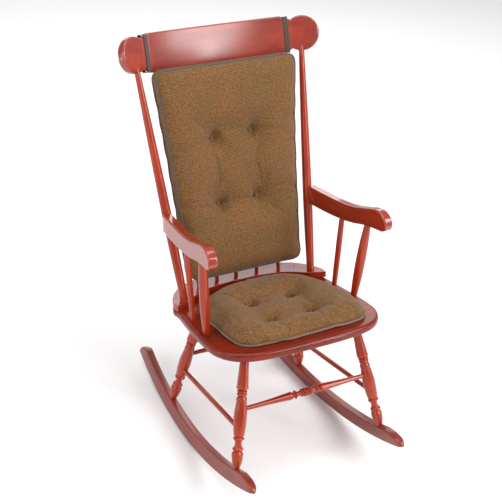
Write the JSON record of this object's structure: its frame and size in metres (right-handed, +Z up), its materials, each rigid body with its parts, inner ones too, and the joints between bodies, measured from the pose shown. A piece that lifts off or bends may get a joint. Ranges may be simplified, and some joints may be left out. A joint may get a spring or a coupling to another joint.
{
  "type": "rocking chair",
  "caption": "Rocking chair with turned legs, spindle back, bowed crest rail, solid seat, arms, bent rockers and tufted seat and back cushions.",
  "frame": {"origin": "middle of the bounding box in plan, on the floor that the rockers stand on", "axes": "+X to the right of the chair seen from the front, +Y to the back of the chair, +Z up"},
  "size_m": [0.6308, 0.8788, 1.0922],
  "materials": {
    "board_lacquer": "gloss",
    "turned_lacquer": "gloss",
    "rocker_lacquer": "gloss",
    "tweed": "matte",
    "tie_tape": "matte",
    "screw_steel": "satin"
  },
  "bodies": {
    "frame": {"arm_left": "board_lacquer", "arm_post_left": "turned_lacquer", "arm_post_right": "turned_lacquer", "arm_right": "board_lacquer", "arm_spindle_left": "turned_lacquer", "arm_spindle_right": "turned_lacquer", "back_deck": "board_lacquer", "back_post_left": "turned_lacquer", "back_post_right": "turned_lacquer", "back_spindle_1": "turned_lacquer", "back_spindle_2": "turned_lacquer", "back_spindle_3": "turned_lacquer", "back_spindle_4": "turned_lacquer", "back_spindle_5": "turned_lacquer", "crest_rail": "board_lacquer", "front_stretcher": "turned_lacquer", "leg_front_left": "turned_lacquer", "leg_front_right": "turned_lacquer", "leg_rear_left": "turned_lacquer", "leg_rear_right": "turned_lacquer", "rear_stretcher": "turned_lacquer", "rocker_left": "rocker_lacquer", "rocker_right": "rocker_lacquer", "screw_arm_left": "screw_steel", "screw_arm_right": "screw_steel", "screw_deck_left": "screw_steel", "screw_deck_right": "screw_steel", "screw_front_stretcher_left": "screw_steel", "screw_front_stretcher_right": "screw_steel", "screw_rear_stretcher_left": "screw_steel", "screw_rear_stretcher_right": "screw_steel", "screw_rocker_front_left": "screw_steel", "screw_rocker_front_right": "screw_steel", "screw_rocker_rear_left": "screw_steel", "screw_rocker_rear_right": "screw_steel", "seat": "board_lacquer", "side_stretcher_left": "turned_lacquer", "side_stretcher_right": "turned_lacquer", "tie_left": "tie_tape", "tie_right": "tie_tape"},
    "seat_pad": {"seat_cushion": "tweed"},
    "back_pad": {"back_cushion": "tweed"}
  },
  "joints": [
    {"name": "seat_cushion_lift", "type": "slide", "parent": "frame", "child": "seat_pad", "axis": [0, -0.9506, 0.3104], "range_m": [0, 0.12]},
    {"name": "back_cushion_swing", "type": "hinge", "parent": "frame", "child": "back_pad", "pos_m": [0, 0.34515, 1.0088], "axis": [-1, 0, 0], "range_deg": [0, 70]}
  ]
}
